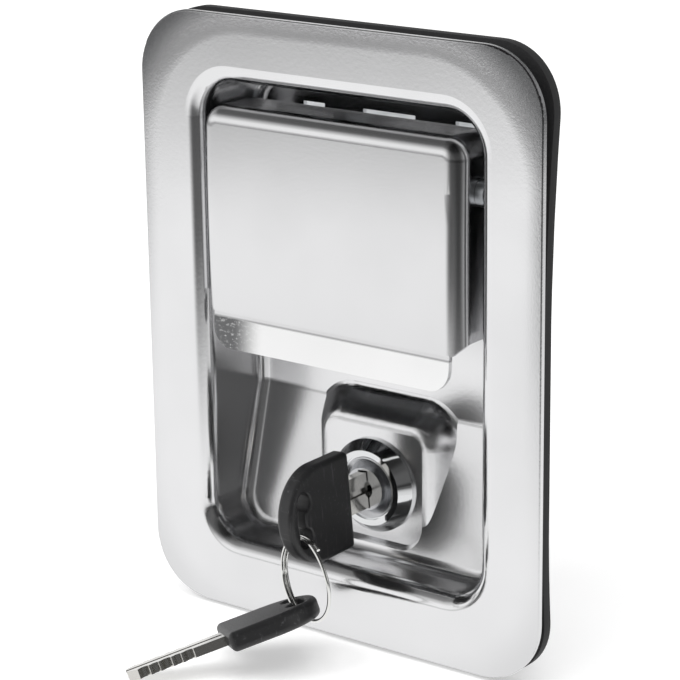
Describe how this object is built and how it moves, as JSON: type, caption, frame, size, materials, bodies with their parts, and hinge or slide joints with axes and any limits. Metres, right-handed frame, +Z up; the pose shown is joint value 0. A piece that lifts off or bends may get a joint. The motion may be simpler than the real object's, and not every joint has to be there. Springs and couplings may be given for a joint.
{
  "type": "paddle latch",
  "caption": "Flush paddle latch: drawn pan with rubber gasket, pivoting paddle, cam lock with keys, and a side slam bolt behind.",
  "frame": {"origin": "centre of the flange's back face, where the four weld studs stand", "axes": "+Z up, +X to the right as seen from the front, +Y into the door; the front faces -Y"},
  "size_m": [0.112, 0.0903, 0.141],
  "materials": {
    "polished_stainless": "drawn stainless sheet, polished",
    "zinc_plated_steel": "bright zinc plate",
    "seal_rubber": "matte black foam rubber",
    "spring_steel": "drawn wire",
    "bolt_steel": "case-hardened, zinc plated",
    "chromed_zinc": "bright chrome on die-cast zinc",
    "plug_zinc": "satin chrome on die-cast zinc",
    "wafer_brass": "stamped",
    "key_nickel": "nickel plated brass",
    "key_plastic": "moulded, slightly glossy black"
  },
  "bodies": {
    "housing": {"pan": "polished_stainless", "gasket": "seal_rubber", "mounting_studs": "zinc_plated_steel", "latch_bracket": "zinc_plated_steel", "bracket_rivets": "zinc_plated_steel", "lever_post": "zinc_plated_steel", "lever_clip": "spring_steel", "paddle_pin": "zinc_plated_steel", "pin_clip": "spring_steel", "spring_guide": "zinc_plated_steel", "bolt_spring": "spring_steel", "lock_housing": "chromed_zinc", "lock_washer": "zinc_plated_steel", "lock_nut": "zinc_plated_steel"},
    "paddle": {"paddle": "polished_stainless", "paddle_arm": "zinc_plated_steel", "pivot_bushes": "zinc_plated_steel", "paddle_spring": "spring_steel"},
    "lever": {"release_lever": "zinc_plated_steel", "drive_pin": "zinc_plated_steel"},
    "bolt": {"latch_bolt": "bolt_steel"},
    "plug": {"lock_plug": "plug_zinc", "lock_wafers": "wafer_brass", "lock_cam": "zinc_plated_steel", "cam_washer": "zinc_plated_steel", "cam_screw": "zinc_plated_steel"},
    "key": {"key_head": "key_plastic", "key_blade": "key_nickel"},
    "ring": {"key_ring": "key_nickel"},
    "spare_key": {"spare_key_head": "key_plastic", "spare_key_blade": "key_nickel"}
  },
  "joints": [
    {"name": "paddle_hinge", "type": "hinge", "parent": "housing", "child": "paddle", "pos_m": [0, 0.0045, 0.0373], "axis": [-1, 0, 0], "range_deg": [0, 35], "stiffness_Nm_per_rad": 0.06, "springref_deg": -34.38},
    {"name": "lever_turn", "type": "hinge", "parent": "housing", "child": "lever", "pos_m": [0, 0.025, 0.03], "axis": [0, -1, 0], "range_deg": [0, 33.3]},
    {"name": "bolt_slide", "type": "slide", "parent": "housing", "child": "bolt", "axis": [1, 0, 0], "range_m": [0, 0.0121], "deforming": ["bolt_spring"]},
    {"name": "lock_turn", "type": "hinge", "parent": "housing", "child": "plug", "pos_m": [0, 0.0105, -0.0376], "axis": [0, 1, 0], "range_deg": [-90, 0]},
    {"name": "key_slide", "type": "slide", "parent": "plug", "child": "key", "axis": [0, -1, 0], "range_m": [-0.006, 0.015]},
    {"name": "ring_swing", "type": "hinge", "parent": "key", "child": "ring", "pos_m": [0.00034, -0.01538, -0.04151], "axis": [-0.9317, 0.3633, 0], "range_deg": [-3, 30]},
    {"name": "spare_key_turn", "type": "hinge", "parent": "ring", "child": "spare_key", "pos_m": [0.00265, -0.01628, -0.05068], "axis": [-0.3633, -0.9317, 0], "range_deg": [-12, 12]}
  ],
  "couplings": [
    {"joint": "lever_turn", "follows": "paddle_hinge", "ratio": 0.95},
    {"joint": "bolt_slide", "follows": "paddle_hinge", "m_per_rad": 0.01975}
  ]
}
